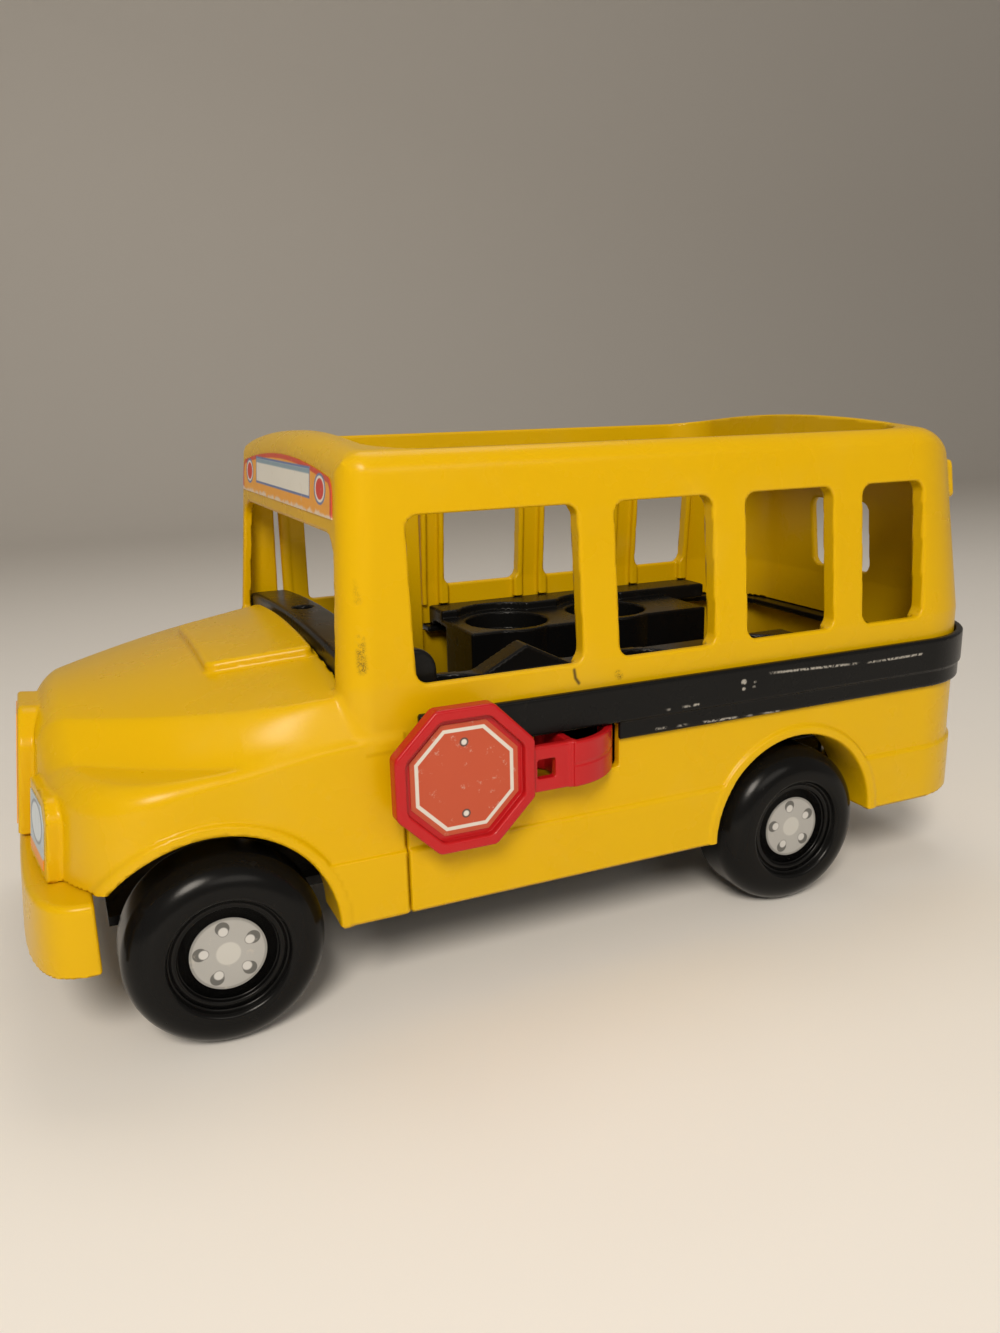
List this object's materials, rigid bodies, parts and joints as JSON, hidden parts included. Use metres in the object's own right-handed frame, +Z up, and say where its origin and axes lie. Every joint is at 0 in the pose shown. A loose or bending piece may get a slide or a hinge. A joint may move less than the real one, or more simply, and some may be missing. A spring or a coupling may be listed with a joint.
{
  "type": "toy school bus",
  "caption": "Open-roofed toy bus in yellow plastic with a swinging octagonal sign arm, a hinged side door, seat cups for figures and free-rolling wheels.",
  "frame": {"origin": "under the middle of the bus on the ground plane, at the bottom centre of its box", "axes": "+X from the nose to the tail, +Z up, the sign arm on the -Y side"},
  "size_m": [0.3462, 0.1752, 0.1718],
  "materials": {
    "yellow_plastic": "glossy moulded plastic with light wear",
    "black_plastic": "semi-gloss moulded plastic",
    "wheel_plastic": "glossy hard plastic wheel",
    "steel": "plain bright steel",
    "hub_silver": "silver printed disc",
    "red_plastic": "glossy moulded plastic",
    "sign_print": "printed label",
    "header_print": "printed label, worn",
    "grille_print": "printed label",
    "lamp_print": "printed label"
  },
  "bodies": {
    "bus": {"upper_body": "yellow_plastic", "lower_body": "yellow_plastic", "front_bumper": "yellow_plastic", "belt_rail": "black_plastic", "seat_tray": "black_plastic", "underside_pan": "black_plastic", "pan_screws": "steel", "sign_pin": "steel", "door_pin": "steel", "header_label": "header_print", "grille_label": "grille_print", "headlight_label_left": "lamp_print", "headlight_label_right": "lamp_print"},
    "sign_arm": {"stop_sign": "red_plastic", "sign_label": "sign_print"},
    "door": {"entry_door": "yellow_plastic"},
    "front_wheels": {"front_axle": "steel", "wheel_front_left": "wheel_plastic", "wheel_front_right": "wheel_plastic", "hub_front_left": "hub_silver", "hub_front_right": "hub_silver"},
    "rear_wheels": {"rear_axle": "steel", "wheel_rear_left": "wheel_plastic", "wheel_rear_right": "wheel_plastic", "hub_rear_left": "hub_silver", "hub_rear_right": "hub_silver"}
  },
  "joints": [
    {"name": "stop_sign_swing", "type": "hinge", "parent": "bus", "child": "sign_arm", "pos_m": [-0.0147, -0.0645, 0.0726], "axis": [0, 0, 1], "range_deg": [0, 75]},
    {"name": "entry_door_swing", "type": "hinge", "parent": "bus", "child": "door", "pos_m": [-0.0617, 0.07814, 0.102], "axis": [0, 0, 1], "range_deg": [0, 85]},
    {"name": "front_wheels_spin", "type": "hinge", "parent": "bus", "child": "front_wheels", "pos_m": [-0.1197, 0.0044, 0.029], "axis": [0, 1, 0], "continuous": true},
    {"name": "rear_wheels_spin", "type": "hinge", "parent": "bus", "child": "rear_wheels", "pos_m": [0.0803, 0.0044, 0.029], "axis": [0, 1, 0], "continuous": true}
  ]
}
